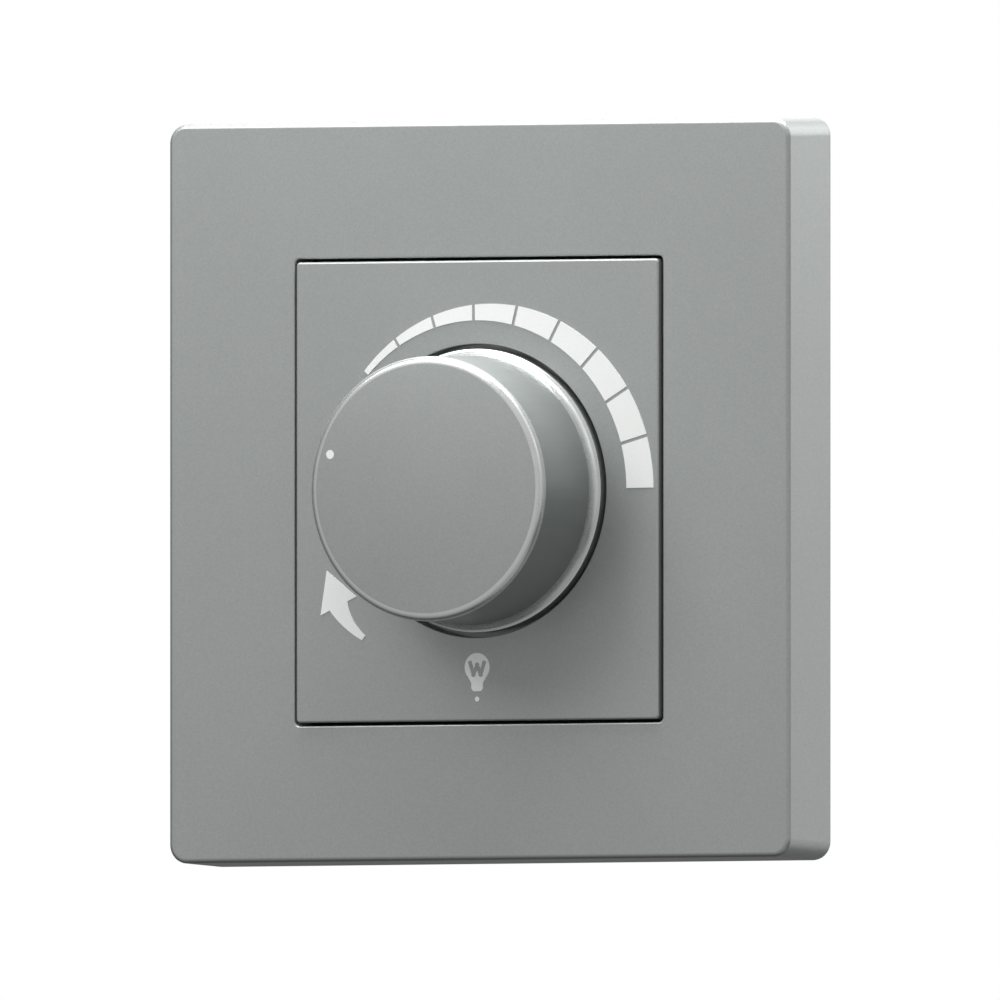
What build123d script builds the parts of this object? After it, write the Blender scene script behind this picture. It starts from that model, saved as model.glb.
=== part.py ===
import os
from math import cos, radians, sin, sqrt, tan

from build123d import *

# Rotary dimmer switch for a wall box. All sizes are in millimetres and degrees.
# Pieces are drawn in front elevation: X to the right, Y up, Z out of the wall, wall plane at Z = 0.
# place() then stands the finished piece up, so that Z is up and the face looks along -Y.

# Cover frame
frame_width = 86.0
frame_height = 90.0
frame_depth = 10.7
frame_corner = 2.3
frame_taper = 1.6
frame_wall = 2.0
frame_face = 2.2
frame_edge = 0.55
frame_foot_edge = 0.8
window_lip = 1.4
window_lip_depth = 2.0
window_edge = 0.25

# Snap hooks of the cover frame
hook_x = 20.0
hook_rim_gap = 1.35
hook_width = 6.4
hook_thick = 1.4
hook_bite = 0.65
hook_height = 0.8
hook_clear = 0.3

# Carrier that is screwed to the wall box
carrier_gap = 1.2
carrier_thick = 2.4
carrier_corner = 2.5
carrier_rim = 1.4
carrier_rim_height = 2.0
screw_spacing = 60.3
slot_width = 4.5
slot_length = 6.5
slot_pad = 2.0
slot_pad_height = 0.5
pocket_depth = 0.9
pocket_rib = 1.2
pocket_border = 2.0
pocket_columns = 6
pocket_rows = 2

# Face panel
panel_width = 50.2
panel_height = 56.1
panel_corner = 0.5
panel_proud = 0.45
panel_thick = 2.2
panel_wall = 1.8
panel_edge = 0.25
panel_gap = 0.4
well_depth = 2.55
well_floor = 2.0
well_wall = 1.8
print_thick = 0.08

# Crescent scale and turning arrow printed on the panel
# The arrow's points are given as distance from the well's rim and angle
scale_clear = 2.7
scale_edge = 0.6
scale_point = 0.25
scale_start = 0.3
scale_pitch = 15.15
scale_gap = 0.4
scale_steps = 9
arrow_tip = (4.84, 204.7)
arrow_outer_barb = (8.29, 214.7)
arrow_inner_barb = (2.92, 217.4)
arrow_tail = (5.66, 228.6)
arrow_stem_width = 2.7
arrow_tail_width = 0.75
arrow_outer_bulge = 0.06
arrow_inner_bulge = 0.09

# Knob
knob_height = 13.6
knob_crown = 0.5
knob_radius = 16.4
knob_face_radius = 16.15
knob_chamfer = 0.95
knob_edge = 0.2
knob_wall = 1.75
knob_top = 2.2
knob_sink = 1.4
knob_gap = 0.8
flange_proud = 0.85
flange_rise = 0.55
flange_bevel = 1.0
hub_radius = 5.4
hub_clear = 0.5
hub_slot = 0.8
hub_slot_depth = 4.5
rib_count = 6
rib_thick = 1.2
rib_clear = 2.2
dot_orbit = 13.9
dot_radius = 0.55
dot_depth = 0.7
pointer_angle = 162.0
clip_thick = 0.8
clip_width = 0.9
clip_opening = 50.0

# Potentiometer with on/off switch deck
fit = 0.06
shaft_radius = 3.0
shaft_flat = 1.5
shaft_end_gap = 1.0
bush_wall = 0.5
bush_spare = 1.6
washer_thick = 0.6
washer_radius = 5.6
nut_thick = 2.2
nut_flats = 10.0
pot_radius = 8.3
pot_plate = 1.2
can_depth = 6.0
can_wall = 0.6
tab_width = 2.4
tab_thick = 1.2
tab_inset = 0.7
wafer_thick = 1.2
wafer_clear = 1.8
lug_pitch = 5.0
lug_width = 1.4
lug_thick = 0.6
lug_clear = 1.8
lug_edge = 0.8
rotor_gap = 1.5
rotor_thick = 1.8
wiper_thick = 0.35
wiper_width = 2.4
wiper_clear = 0.15
wiper_ring = 0.7
tang_width = 4.4
tang_thick = 1.8
tang_reach = 1.6
deck_depth = 6.0
switch_pin_inset = 0.8
switch_pin_angle = 48.0

# Heat sink and triac
sink_thick = 1.5
sink_reach = 12.0
sink_width = 26.0
sink_flange_width = 16.0
sink_air = 0.8
sink_bend = 1.6
sink_end_gap = 1.2
triac_width = 10.0
triac_body = 9.2
triac_thick = 4.4
triac_tab = 6.4
triac_tab_thick = 1.3
triac_legs = 3.0
triac_pitch = 2.54
triac_screw_radius = 1.5
triac_head_radius = 2.7
triac_head_height = 1.8

# Circuit board
board_thick = 1.6
board_gap = 1.1
board_clear = 0.3
pin_radius = 0.35
pin_clear = 0.2
post_inset = 3.4
post_left_y = 8.0
post_right_y = -11.5
post_radius = 2.4
board_screw_radius = 1.0
board_screw_length = 5.0
board_head_radius = 2.0
board_head_height = 1.3

# Parts on the back of the board
choke_gap = 1.4
choke_tube_gap = 0.6
core_outer = 7.6
core_inner = 4.0
core_height = 6.5
wire_thick = 0.9
winding_arc = 300.0
winding_turns = 18
cap_sizes = [(12.0, 6.0, 11.0), (7.2, 3.5, 8.0)]
cap_edge = 0.5
cap_lead_inset = 0.9
resistor_count = 3
resistor_length = 6.3
resistor_radius = 1.15
resistor_span = 8.4
diac_length = 3.8
diac_radius = 0.9
diac_span = 7.6
fuse_gap = 1.9
fuse_length = 20.0
fuse_radius = 2.5
fuse_wall = 0.8
fuse_cap_length = 5.0
fuse_cap_wall = 0.25
fuse_lift = 2.0
clip_sheet = 0.5
clip_grip = 4.0

# Terminals
pole_pitch = 8.2
cage_width = 6.0
cage_side = 0.7
cage_length = 6.0
cage_roof = 2.0
cage_floor = 1.0
wire_room = 3.4
wire_hole = 1.7
bar_thick = 1.2
clamp_gap = 0.2
clamp_screw_radius = 1.75
clamp_head_radius = 2.9
clamp_head_height = 1.8
clamp_slot = 0.8
clamp_slot_depth = 0.9
block_wall = 1.3
block_floor = 2.0
block_edge = 0.3
block_setback = 0.2
entry_wall = 2.6
head_shoulder = 1.0
head_recess = 0.6
head_clear = 0.3

# Rear housing
housing_room = 0.8
housing_wall = 1.8
housing_corner = 2.5
housing_edge = 1.0
housing_gap = 0.3
housing_spigot = 3.0
carrier_clear = 0.4
tube_radius = 3.5
tube_wall = 0.7
seat_front = 0.6
seat_thick = 2.0
case_screw_radius = 1.3
case_screw_length = 8.0
case_head_height = 1.9
case_head_clear = 0.3
boss_radius = 2.6
screw_hole_clear = 0.2
latch_x = 11.0
latch_width = 7.0
latch_bite = 0.9
latch_height = 2.4
latch_play = 0.15
latch_slit = 1.0
latch_slit_reach = 8.0
niche_gap = 0.3
niche_wall = 1.4
vent_width = 1.6
vent_length = 12.0
vent_pitch = 4.2
vent_count = 5

# Heights above the wall plane that the pieces share
panel_front = frame_depth + panel_proud
panel_back = panel_front - panel_thick
floor_front = panel_front - well_depth
floor_back = floor_front - well_floor
knob_face = panel_front + knob_height
face_rim = knob_face - knob_crown
knob_ceiling = knob_face - knob_top
knob_base = panel_front - knob_sink
bush_end = floor_front + washer_thick + nut_thick + bush_spare
hub_low = bush_end + hub_clear
shaft_end = knob_ceiling - shaft_end_gap
pot_front = floor_back - sink_thick
plate_back = pot_front - pot_plate
wafer_back = plate_back - wafer_thick
can_back = plate_back - can_depth
rotor_front = wafer_back - wiper_clear - wiper_thick
rotor_back = rotor_front - rotor_thick
deck_back = can_back - deck_depth
board_front = deck_back - board_gap
board_back = board_front - board_thick
pin_tail = board_gap - board_clear
triac_top = board_back - triac_legs
triac_tab_top = triac_top - triac_body
triac_end = triac_tab_top - triac_tab
housing_floor = triac_end - housing_room
housing_back = housing_floor - housing_wall
housing_front = carrier_thick + housing_spigot

# Widths that the pieces share
frame_flare = frame_depth * tan(radians(frame_taper))
foot_width = frame_width + 2 * frame_flare
foot_height = frame_height + 2 * frame_flare
cavity_width = foot_width - 2 * frame_wall
cavity_height = foot_height - 2 * frame_wall
carrier_width = cavity_width - 2 * carrier_gap
carrier_height = cavity_height - 2 * carrier_gap
hook_y = carrier_height / 2 - carrier_rim - hook_rim_gap - hook_bite - hook_clear - hook_thick
window_width = panel_width + 2 * panel_gap
window_height = panel_height + 2 * panel_gap
window_corner = panel_corner + panel_gap / 2
housing_width = panel_width - 2 * panel_wall - 2 * housing_gap
housing_height = panel_height - 2 * panel_wall - 2 * housing_gap
opening_width = housing_width + 2 * carrier_clear
opening_height = housing_height + 2 * carrier_clear
inside_width = housing_width - 2 * housing_wall
inside_height = housing_height - 2 * housing_wall
tube_x = inside_width / 2 - boss_radius - housing_gap
tube_y = inside_height / 2 - boss_radius - housing_gap
tube_bore = tube_radius - tube_wall
flange_radius = knob_radius + flange_proud
well_radius = flange_radius + knob_gap
scale_root = well_radius + scale_clear
scale_reach = panel_width / 2 - scale_edge
scale_shift = (scale_reach - scale_root - scale_point) / 2
knob_inner = knob_face_radius - knob_wall
crown_reach = knob_face_radius - knob_chamfer
crown_radius = (crown_reach**2 + knob_crown**2) / (2 * knob_crown)
bush_bore = shaft_radius + fit
bush_radius = bush_bore + bush_wall
tab_orbit = pot_radius - tab_inset - tab_thick / 2
lug_orbit = pot_radius + lug_clear + lug_thick / 2
wafer_reach = lug_orbit + lug_thick / 2 + lug_edge
wafer_tongue = 2 * lug_pitch + lug_width + 2 * lug_edge
rotor_radius = pot_radius - can_wall - rotor_gap
sink_outside = inside_width / 2 - sink_air
sink_inside = sink_outside - sink_thick
post_x = inside_width / 2 - post_inset
board_posts = [(-post_x, post_left_y), (post_x, post_right_y)]
choke_reach = core_outer + wire_thick
choke_x = choke_gap + choke_reach - inside_width / 2
choke_from_tube = choke_reach + tube_radius + choke_tube_gap
choke_y = sqrt(choke_from_tube**2 - (tube_x + choke_x) ** 2) - tube_y
choke_at = (choke_x, choke_y)
column_x = (choke_x + choke_reach + sink_inside - triac_thick) / 2
fuse_clip_reach = fuse_radius + fuse_cap_wall + fit + clip_sheet
fuse_x = post_radius + fuse_gap + fuse_length / 2 - post_x

# Levels of a terminal, counted backwards from the board's back face
cage_low = block_floor + clamp_gap
room_low = cage_low + cage_floor
bar_low = room_low + wire_room
bar_high = bar_low + bar_thick
roof_low = bar_high + clamp_gap
roof_high = roof_low + cage_roof
clamp_travel = wire_room - clamp_gap
chamber_high = roof_high + clamp_travel + clamp_gap
head_low = chamber_high + head_shoulder
head_high = head_low + clamp_head_height
block_height = head_high + head_recess

# Places of a terminal, counted up from the centre of the part
block_front = housing_height / 2 - block_setback
chamber_front = block_front - entry_wall
clamp_y = chamber_front - clamp_gap - cage_length / 2
bar_pin_y = clamp_y - cage_length / 2 - 2 * clamp_gap - bar_thick / 2
chamber_back = bar_pin_y - bar_thick / 2 - clamp_gap
block_back = chamber_back - block_wall
block_width = pole_pitch + cage_width + 2 * clamp_gap + 2 * block_wall
niche_width = block_width + 2 * niche_gap
niche_back = block_back - niche_gap
low_ends = (Align.CENTER, Align.CENTER, Align.MIN)


def slab(outline, low, high):
    return extrude(Pos(0, 0, low) * outline, high - low)


def block(width, height, low, high, at=(0, 0)):
    return Pos(at[0], at[1], low) * Box(width, height, high - low, align=low_ends)


def rod(radius, low, high, at=(0, 0)):
    return Pos(at[0], at[1], low) * Cylinder(radius, high - low, align=low_ends)


def span(left, right, bottom, top, low, high):
    middle = ((left + right) / 2, (bottom + top) / 2)
    return block(right - left, top - bottom, low, high, middle)


def polar(radius, angle):
    return (radius * cos(radians(angle)), radius * sin(radians(angle)))


def turned(points):
    return revolve(make_face(Plane.XZ * Polyline(*points, close=True)), Axis.Z)


def both_sides(piece):
    return piece + mirror(piece, about=Plane.YZ)


def four_ways(piece):
    pair = both_sides(piece)
    return pair + mirror(pair, about=Plane.XZ)


def with_pointer(piece):
    return Rot(0, 0, pointer_angle) * piece


def from_board(level):
    return board_back - level


# Frame, carrier and panel


def cover_frame():
    foot = RectangleRounded(foot_width, foot_height, frame_corner + frame_flare)
    shell = extrude(foot, frame_depth, taper=frame_taper)
    shell = fillet(shell.faces().sort_by(Axis.Z)[-1].edges(), frame_edge)
    shell = fillet(shell.faces().sort_by(Axis.Z)[0].edges(), frame_foot_edge)
    cavity = RectangleRounded(cavity_width, cavity_height, frame_corner)
    shell -= extrude(cavity, frame_depth - frame_face, taper=frame_taper)
    window = RectangleRounded(window_width, window_height, window_corner)
    lip_outline = offset(window, window_lip)
    inner_face = frame_depth - frame_face
    shell += slab(lip_outline, inner_face - window_lip_depth, inner_face)
    shell -= slab(window, 0, frame_depth)
    front = shell.faces().sort_by(Axis.Z)[-1]
    shell = chamfer(front.inner_wires()[0].edges(), window_edge)
    return shell + four_ways(snap_hook(inner_face))


def snap_hook(root):
    tip = (carrier_thick / 2) - hook_height - hook_clear / 2
    outer = hook_y + hook_thick
    profile = Polyline(
        (hook_y, root),
        (outer, root),
        (outer, tip + hook_height),
        (outer + hook_bite, tip + hook_height),
        (outer, tip),
        (hook_y, tip),
        close=True,
    )
    tongue = extrude(make_face(Plane.YZ * profile), hook_width / 2, both=True)
    return Pos(hook_x, 0, 0) * tongue


def hook_slot():
    half = hook_width / 2 + hook_clear
    left, right = hook_x - half, hook_x + half
    bottom = hook_y - hook_clear
    top = hook_y + hook_thick + hook_clear
    throat = span(left, right, bottom, top, 0, carrier_thick)
    ledge = span(left, right, bottom, top + hook_bite, 0, carrier_thick / 2)
    return throat + ledge


def carrier():
    outline = RectangleRounded(carrier_width, carrier_height, carrier_corner)
    plate = slab(outline, 0, carrier_thick + carrier_rim_height)
    inside = offset(outline, -carrier_rim)
    plate -= slab(inside, carrier_thick, carrier_thick + carrier_rim_height)
    slot = Pos(screw_spacing / 2, 0) * SlotOverall(slot_length, slot_width)
    pad = Pos(screw_spacing / 2, 0) * SlotOverall(slot_length + slot_pad, slot_width + slot_pad)
    plate += both_sides(slab(pad, carrier_thick, carrier_thick + slot_pad_height))
    plate -= both_sides(slab(slot, 0, carrier_thick + slot_pad_height))
    opening = RectangleRounded(opening_width, opening_height, housing_corner + carrier_clear)
    plate -= slab(opening, 0, carrier_thick)
    return plate - four_ways(hook_slot()) - carrier_pockets()


def carrier_pockets():
    outer = carrier_width / 2 - pocket_border
    low = opening_height / 2 + pocket_border
    high = hook_y - hook_clear - pocket_border
    above = pocket_grid(-outer, outer, low, high, pocket_columns, 1)
    inner = opening_width / 2 + pocket_border
    pad_edge = (slot_width + slot_pad) / 2 + pocket_border
    beside = pocket_grid(inner, outer, pad_edge, opening_height / 2, 1, pocket_rows)
    return above + mirror(above, about=Plane.XZ) + four_ways(beside)


def pocket_grid(left, right, bottom, top, columns, rows):
    wide = (right - left - (columns - 1) * pocket_rib) / columns
    high = (top - bottom - (rows - 1) * pocket_rib) / rows
    cells = []
    for column in range(columns):
        for row in range(rows):
            x = left + column * (wide + pocket_rib)
            y = bottom + row * (high + pocket_rib)
            cells.append(span(x, x + wide, y, y + high, 0, pocket_depth))
    return Part() + cells


def face_panel():
    outline = RectangleRounded(panel_width, panel_height, panel_corner)
    body = slab(outline, carrier_thick, panel_front)
    body = chamfer(body.faces().sort_by(Axis.Z)[-1].edges(), panel_edge)
    inside_outline = Rectangle(panel_width - 2 * panel_wall, panel_height - 2 * panel_wall)
    body -= slab(inside_outline, carrier_thick, panel_back)
    body += rod(well_radius + well_wall, floor_back, panel_back)
    body -= rod(well_radius, floor_front, panel_front)
    body -= rod(bush_radius + screw_hole_clear, floor_back, floor_front)
    body -= anti_turn_slot(floor_back, floor_front)
    boss = rod(boss_radius, seat_front, panel_back, (tube_x, tube_y))
    screw_end = seat_front - seat_thick + case_screw_length
    hole = rod(case_screw_radius + fit, seat_front, screw_end + fit, (tube_x, tube_y))
    return body + four_ways(boss) - four_ways(hole)


def anti_turn_slot(low, high):
    width = tab_width + 2 * screw_hole_clear
    height = tab_thick + 2 * screw_hole_clear
    return block(width, height, low, high, (0, tab_orbit))


def scale_marks():
    outer = Pos(scale_shift, 0) * Circle(scale_reach - scale_shift)
    crescent = outer - Circle(scale_root)
    below = Pos(0, -scale_reach) * Rectangle(2 * scale_reach, 2 * scale_reach)
    crescent -= Rot(0, 0, scale_start) * below
    crescent -= Rot(0, 0, scale_start + scale_steps * scale_pitch - 180) * below
    for step in range(1, scale_steps):
        bar = Pos(scale_reach, 0) * Rectangle(2 * scale_reach, scale_gap)
        crescent -= Rot(0, 0, scale_start + step * scale_pitch) * bar
    return slab(crescent, panel_front, panel_front + print_thick)


def from_well(distance, angle):
    return Vector(*polar(well_radius + distance, angle))


def arrow_mark():
    tip = from_well(*arrow_tip)
    outer_barb = from_well(*arrow_outer_barb)
    inner_barb = from_well(*arrow_inner_barb)
    tail = from_well(*arrow_tail)
    root = (outer_barb + inner_barb) * 0.5
    root_half = (inner_barb - outer_barb).normalized() * (arrow_stem_width / 2)
    outer_root = root - root_half
    inner_root = root + root_half
    tail_half = tail.normalized() * (arrow_tail_width / 2)
    outer_tail = tail + tail_half
    inner_tail = tail - tail_half
    bow = (root + tail).normalized() * (root - tail).length
    outer_middle = (outer_root + outer_tail) * 0.5 + bow * arrow_outer_bulge
    inner_middle = (inner_root + inner_tail) * 0.5 + bow * arrow_inner_bulge
    edges = [
        Polyline(outer_root, outer_barb, tip, inner_barb, inner_root),
        ThreePointArc(inner_root, inner_middle, inner_tail),
        Line(inner_tail, outer_tail),
        ThreePointArc(outer_tail, outer_middle, outer_root),
    ]
    return slab(make_face(edges), panel_front, panel_front + print_thick)


# Knob


def knob():
    bevel_low = panel_front + flange_rise
    bevel_high = bevel_low + flange_bevel
    outline = [
        (0, knob_ceiling),
        (0, knob_face),
        (crown_reach - knob_crown, knob_face),
        (knob_face_radius, face_rim - knob_chamfer),
        (knob_radius, bevel_high),
        (flange_radius, bevel_low),
        (flange_radius, knob_base),
        (knob_inner, knob_base),
        (knob_inner, knob_ceiling),
    ]
    cup = turned(outline) & crown()
    rims = cup.edges().filter_by(GeomType.CIRCLE).group_by(Axis.Z)
    cup = fillet(rims[1] + rims[-2] + rims[-1], knob_edge)
    cup += rod(hub_radius, hub_low, knob_ceiling)
    for step in range(rib_count):
        middle = (hub_radius + knob_inner) / 2
        length = knob_inner - hub_radius + 2 * fit
        rib = block(length, rib_thick, hub_low + rib_clear, knob_ceiling, (middle, 0))
        cup += Rot(0, 0, (step + 0.5) * 360 / rib_count) * rib
    cup -= d_shaft(shaft_radius + fit, shaft_flat + fit, hub_low, knob_ceiling)
    cup -= block(2 * hub_radius, hub_slot, hub_low, hub_low + hub_slot_depth)
    cup -= rod(dot_radius, knob_face - dot_depth, knob_face, (dot_orbit, 0))
    return with_pointer(cup)


def crown():
    return Pos(0, 0, knob_face - crown_radius) * Sphere(crown_radius)


def d_shaft(radius, flat, low, high):
    return rod(radius, low, high) & span(-radius, radius, -flat, radius, low, high)


def pointer_dot():
    fill = rod(dot_radius, knob_face - dot_depth, knob_face, (dot_orbit, 0))
    return with_pointer(fill & crown())


def knob_clip():
    inner = hub_radius + fit
    low = hub_low + fit
    ring = rod(inner + clip_thick, low, low + clip_width) - rod(inner, low, low + clip_width)
    reach = inner + clip_thick
    opening = 2 * reach * sin(radians(clip_opening / 2))
    return with_pointer(ring - span(0, reach, -opening / 2, opening / 2, low, low + clip_width))


# Potentiometer


def pot_bush():
    body = rod(bush_radius, pot_front, bush_end) + rod(pot_radius, plate_back, pot_front)
    body += block(tab_width, tab_thick, pot_front, floor_front, (0, tab_orbit))
    return body - rod(bush_bore, plate_back, bush_end)


def pot_washer():
    low = floor_front
    ring = rod(washer_radius, low, low + washer_thick)
    return ring - rod(bush_radius + fit, low, low + washer_thick)


def pot_nut():
    low = floor_front + washer_thick
    hexagon = RegularPolygon(nut_flats / 2, 6, major_radius=False)
    return slab(hexagon, low, low + nut_thick) - rod(bush_radius + fit, low, low + nut_thick)


def pot_shaft():
    round_part = rod(shaft_radius, rotor_back, hub_low)
    flat_part = d_shaft(shaft_radius, shaft_flat, hub_low, shaft_end)
    tang = block(tang_width, tang_thick, can_back - tang_reach, rotor_back)
    return with_pointer(round_part + flat_part + tang)


def pot_rotor():
    disc = rod(rotor_radius, rotor_back, rotor_front)
    return with_pointer(disc - rod(shaft_radius + fit, rotor_back, rotor_front))


def pot_wiper():
    reach = rotor_radius - wiper_clear
    arm = span(0, reach, -wiper_width / 2, wiper_width / 2, rotor_front, rotor_front + wiper_thick)
    ring = rod(shaft_radius + fit + wiper_ring, rotor_front, rotor_front + wiper_thick)
    return with_pointer(arm + ring - rod(shaft_radius + fit, rotor_front, rotor_front + wiper_thick))


def pot_wafer():
    disc = rod(pot_radius - can_wall - fit, wafer_back, plate_back)
    disc += span(-wafer_tongue / 2, wafer_tongue / 2, -wafer_reach, 0, wafer_back, plate_back)
    return disc - rod(shaft_radius + wafer_clear, wafer_back, plate_back)


def pot_can():
    can = rod(pot_radius, can_back, plate_back)
    can -= rod(pot_radius - can_wall, can_back + can_wall, plate_back)
    can -= rod(tang_width / 2 + can_wall, can_back, can_back + can_wall)
    half = wafer_tongue / 2 + fit
    return can - span(-half, half, -pot_radius, 0, wafer_back - fit, plate_back)


def pot_switch():
    deck = rod(pot_radius, deck_back, can_back)
    return deck - rod(tang_width / 2 + can_wall, can_back - tang_reach - can_wall, can_back)


def lug_places():
    return [(step * lug_pitch, -lug_orbit) for step in (-1, 0, 1)]


def pot_lugs():
    low = board_back + board_clear
    strips = [block(lug_width, lug_thick, low, wafer_back, at) for at in lug_places()]
    return Part() + strips


def switch_pin_places():
    orbit = pot_radius - switch_pin_inset
    return [polar(orbit, angle) for angle in (switch_pin_angle, 180 - switch_pin_angle)]


def switch_pins():
    low = board_back + board_clear
    return Part() + [rod(pin_radius, low, deck_back, at) for at in switch_pin_places()]


# Heat sink and triac


def heat_sink():
    low = housing_floor + sink_end_gap
    sheet = span(-sink_reach, sink_outside, -sink_width / 2, sink_width / 2, low, floor_back)
    sheet -= span(-sink_reach, sink_inside, -sink_width / 2, sink_width / 2, low, pot_front)
    bend = sheet.edges().filter_by(Axis.Y).sort_by(Axis.X)
    outer_bend = [edge for edge in bend if abs(edge.center().Z - floor_back) < fit][-1]
    sheet = fillet(outer_bend, sink_bend)
    wing = (sink_width - sink_flange_width) / 2
    for side in (-1, 1):
        middle = side * (sink_flange_width + wing) / 2
        sheet -= block(sink_bend * 2, wing, low, floor_back, (sink_outside - sink_bend, middle))
        sheet -= block(sink_thick * 2, wing, low, pot_front, (sink_outside, middle))
    sheet -= rod(bush_radius + screw_hole_clear, pot_front, floor_back)
    sheet -= anti_turn_slot(pot_front, floor_back)
    return sheet - triac_screw_rod(triac_screw_radius + fit, sink_inside, sink_outside)


def triac_screw_rod(radius, left, right):
    level = (triac_tab_top + triac_end) / 2
    middle = (left + right) / 2
    return Pos(middle, 0, level) * Rot(0, 90, 0) * Cylinder(radius, right - left)


def triac_leg_places():
    middle = sink_inside - triac_thick / 2
    return [(middle, step * triac_pitch) for step in (-1, 0, 1)]


def triac():
    half = triac_width / 2
    back = sink_inside - triac_tab_thick
    body = span(sink_inside - triac_thick, sink_inside, -half, half, triac_tab_top, triac_top)
    body += span(back, sink_inside, -half, half, triac_end, triac_tab_top)
    body -= triac_screw_rod(triac_screw_radius + screw_hole_clear, back, sink_inside)
    legs = [rod(pin_radius, triac_top, board_front + pin_tail, at) for at in triac_leg_places()]
    return body + legs


def triac_screw():
    head_right = sink_inside - triac_tab_thick
    head = triac_screw_rod(triac_head_radius, head_right - triac_head_height, head_right)
    return head + triac_screw_rod(triac_screw_radius, head_right, sink_outside)


# Circuit board and the parts on its back


def circuit_board():
    board_width = inside_width - 2 * board_clear
    board_height = inside_height - 2 * board_clear
    board = block(board_width, board_height, board_back, board_front)
    corner = rod(tube_radius + board_clear, board_back, board_front, (tube_x, tube_y))
    reach = tube_radius + board_clear
    corner += span(tube_x, tube_x + reach, tube_y - reach, tube_y + reach, board_back, board_front)
    corner += span(tube_x - reach, tube_x + reach, tube_y, tube_y + reach, board_back, board_front)
    board -= four_ways(corner)
    notch = sink_flange_width / 2 + board_clear
    board -= span(sink_inside - board_clear, board_width, -notch, notch, board_back, board_front)
    holes = [rod(pin_radius + pin_clear, board_back, board_front, at) for at in pin_places()]
    holes += [rod(board_screw_radius + fit, board_back, board_front, at) for at in board_posts]
    wide = lug_width + 2 * pin_clear
    high = lug_thick + 2 * pin_clear
    holes += [block(wide, high, board_back, board_front, at) for at in lug_places()]
    bar_hole = bar_thick + 2 * clamp_gap
    holes += [block(bar_hole, bar_hole, board_back, board_front, at) for at in bar_pin_places()]
    return board - holes


def pin_places():
    places = switch_pin_places() + triac_leg_places() + choke_tails()
    for size, at in zip(cap_sizes, cap_places()):
        places += lead_places(at, cap_lead_span(size))
    for at in resistor_places():
        places += lead_places(at, resistor_span)
    return places + lead_places(diac_place(), diac_span)


# The capacitors, resistors, diac and fuse are spread evenly between the housing's lower wall and the niche


def row_heights():
    heights = [size[1] for size in cap_sizes]
    heights += resistor_count * [2 * resistor_radius]
    return heights + [2 * diac_radius, 2 * fuse_clip_reach]


def rows():
    heights = row_heights()
    low = -inside_height / 2
    high = niche_back - niche_wall
    gap = (high - low - sum(heights)) / (len(heights) + 1)
    middles = []
    for height in heights:
        low += gap + height
        middles.append(low - height / 2)
    return middles


def cap_places():
    return [(column_x, y) for y in rows()[: len(cap_sizes)]]


def resistor_places():
    return [(column_x, y) for y in rows()[len(cap_sizes) : -2]]


def diac_place():
    return (column_x, rows()[-2])


def fuse_place():
    return (fuse_x, rows()[-1])


def lead_places(at, distance):
    return [(at[0] + side * distance / 2, at[1]) for side in (-1, 1)]


def board_screws():
    low = board_back - board_screw_length
    top = board_front + board_head_height
    screws = []
    for at in board_posts:
        screws.append(rod(board_screw_radius, low, board_front, at))
        screws.append(rod(board_head_radius, board_front, top, at))
    return Part() + screws


def choke_low():
    return board_back - core_height - 2 * wire_thick


def choke_core():
    low = choke_low() + wire_thick
    ring = rod(core_outer, low, low + core_height, choke_at)
    return ring - rod(core_inner, low, low + core_height, choke_at)


def choke_tails():
    radius = (core_outer + core_inner) / 2
    ends = [polar(radius, side * (180 - winding_arc / 2)) for side in (-1, 1)]
    return [(choke_at[0] + end[0], choke_at[1] + end[1]) for end in ends]


def choke_winding():
    low = choke_low()
    high = board_back
    inner = core_inner - wire_thick
    outer = core_outer + wire_thick
    inside = wire_thick - fit
    turn = span(inner, outer, -wire_thick / 2, wire_thick / 2, low, high)
    turn -= span(inner + inside, outer - inside, -wire_thick, wire_thick, low + inside, high - inside)
    half = wire_thick / 2
    section = Polyline(
        (core_inner - half, low + half),
        (core_outer + half, low + half),
        (core_outer + half, high - half),
        (core_inner - half, high - half),
        close=True,
    )
    core_room = Polyline(
        (core_inner - fit, low + inside),
        (core_outer + fit, low + inside),
        (core_outer + fit, high - inside),
        (core_inner - fit, high - inside),
        close=True,
    )
    sleeve_face = make_face(Plane.XZ * section) - make_face(Plane.XZ * core_room)
    winding = revolve(sleeve_face, Axis.Z, winding_arc)
    for step in range(winding_turns + 1):
        winding += Rot(0, 0, step * winding_arc / winding_turns) * turn
    winding = Pos(choke_at[0], choke_at[1], 0) * Rot(0, 0, 180 - winding_arc / 2) * winding
    tails = [rod(pin_radius, board_back - fit, board_front + pin_tail, at) for at in choke_tails()]
    return winding + tails


def cap_lead_span(size):
    return size[0] - 2 * cap_lead_inset


def film_capacitors():
    bodies = []
    tail = board_front + pin_tail
    for size, at in zip(cap_sizes, cap_places()):
        case = block(size[0], size[1], board_back - size[2], board_back, at)
        case = fillet(case.faces().sort_by(Axis.Z)[0].edges(), cap_edge)
        leads = [rod(pin_radius, board_back, tail, lead) for lead in lead_places(at, cap_lead_span(size))]
        bodies.append(case + leads)
    return Part() + bodies


def axial_part(at, length, radius, distance):
    level = board_back - radius - fit
    tail = board_front + pin_tail
    left, right = [place[0] for place in lead_places(at, distance)]
    route = Polyline(
        (left, at[1], tail),
        (left, at[1], level),
        (right, at[1], level),
        (right, at[1], tail),
    )
    section = Plane(origin=route @ 0, z_dir=route % 0) * Circle(pin_radius)
    lead = sweep(section, path=route, transition=Transition.RIGHT)
    return lead + Pos(at[0], at[1], level) * Rot(0, 90, 0) * Cylinder(radius, length)


def resistors():
    return Part() + [
        axial_part(at, resistor_length, resistor_radius, resistor_span) for at in resistor_places()
    ]


def diac():
    return axial_part(diac_place(), diac_length, diac_radius, diac_span)


def fuse_level():
    return board_back - fuse_lift - fuse_radius - fuse_cap_wall


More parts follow.
